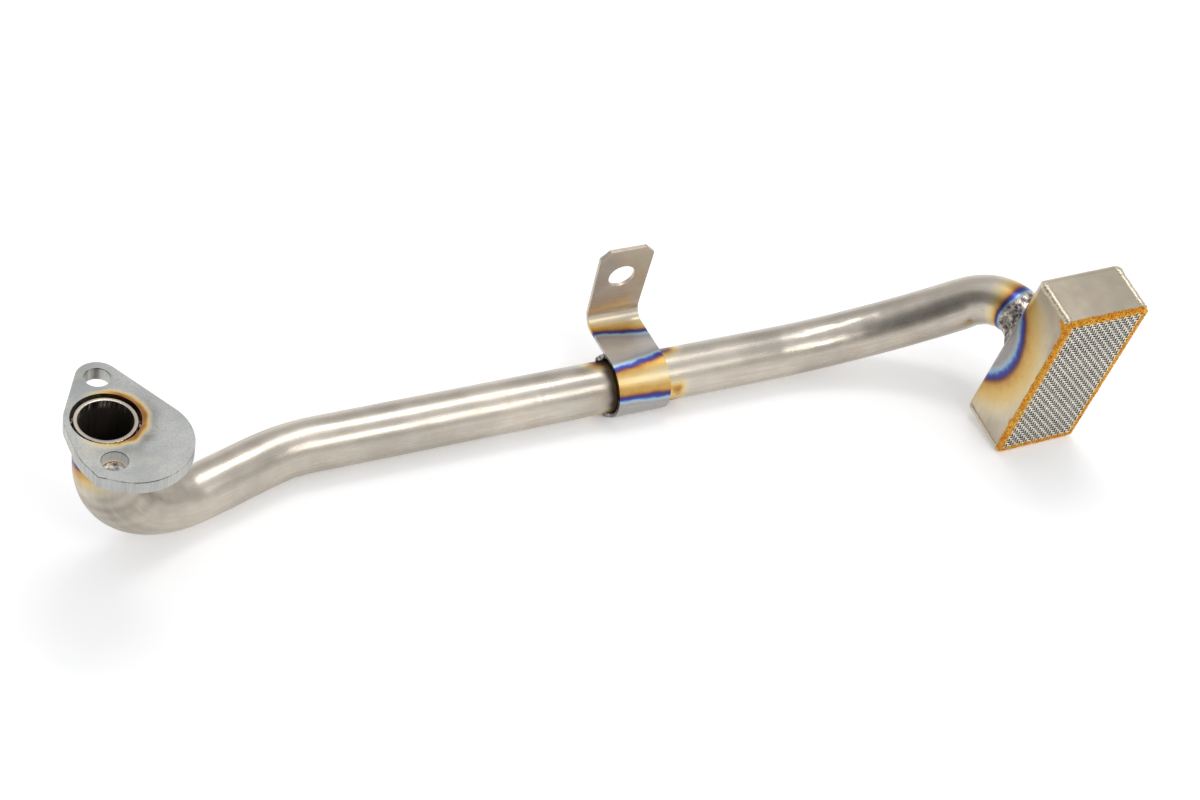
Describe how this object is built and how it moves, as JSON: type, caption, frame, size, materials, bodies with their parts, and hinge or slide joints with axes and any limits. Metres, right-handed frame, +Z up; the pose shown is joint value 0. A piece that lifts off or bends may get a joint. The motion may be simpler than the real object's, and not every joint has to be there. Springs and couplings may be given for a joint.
{
  "type": "oil pickup tube",
  "caption": "Bent steel oil pickup tube with a bolted flange, a support strap and a folded sheet inlet box with a wire screen.",
  "frame": {"origin": "middle of the base that the part lies on", "axes": "+X along the straight run of the tube, from the flange to the inlet box; +Z up from the floor that it rests on"},
  "size_m": [0.3586, 0.0994, 0.0757],
  "materials": {
    "tube_steel": "satin bare steel with heat tint by the welds",
    "flange_steel": "satin cut plate with straw tint round the bore",
    "strap_steel": "satin strip with gold and blue heat bands",
    "box_steel": "satin sheet with a heat arc round the tube weld",
    "weld_metal": "rippled weld bead",
    "screen_wire": "bright woven wire",
    "braze": "grainy braze"
  },
  "bodies": {
    "root": {"pickup_tube": "tube_steel", "flange_plate": "flange_steel", "flange_weld": "weld_metal", "support_strap": "strap_steel", "strap_toe_weld": "weld_metal", "strap_crown_weld": "weld_metal", "inlet_box": "box_steel", "tube_to_box_weld": "weld_metal", "screen": "screen_wire", "screen_braze": "braze", "box_corner_weld_1": "weld_metal", "box_corner_weld_2": "weld_metal", "box_corner_weld_3": "weld_metal", "box_corner_weld_4": "weld_metal"}
  },
  "joints": []
}
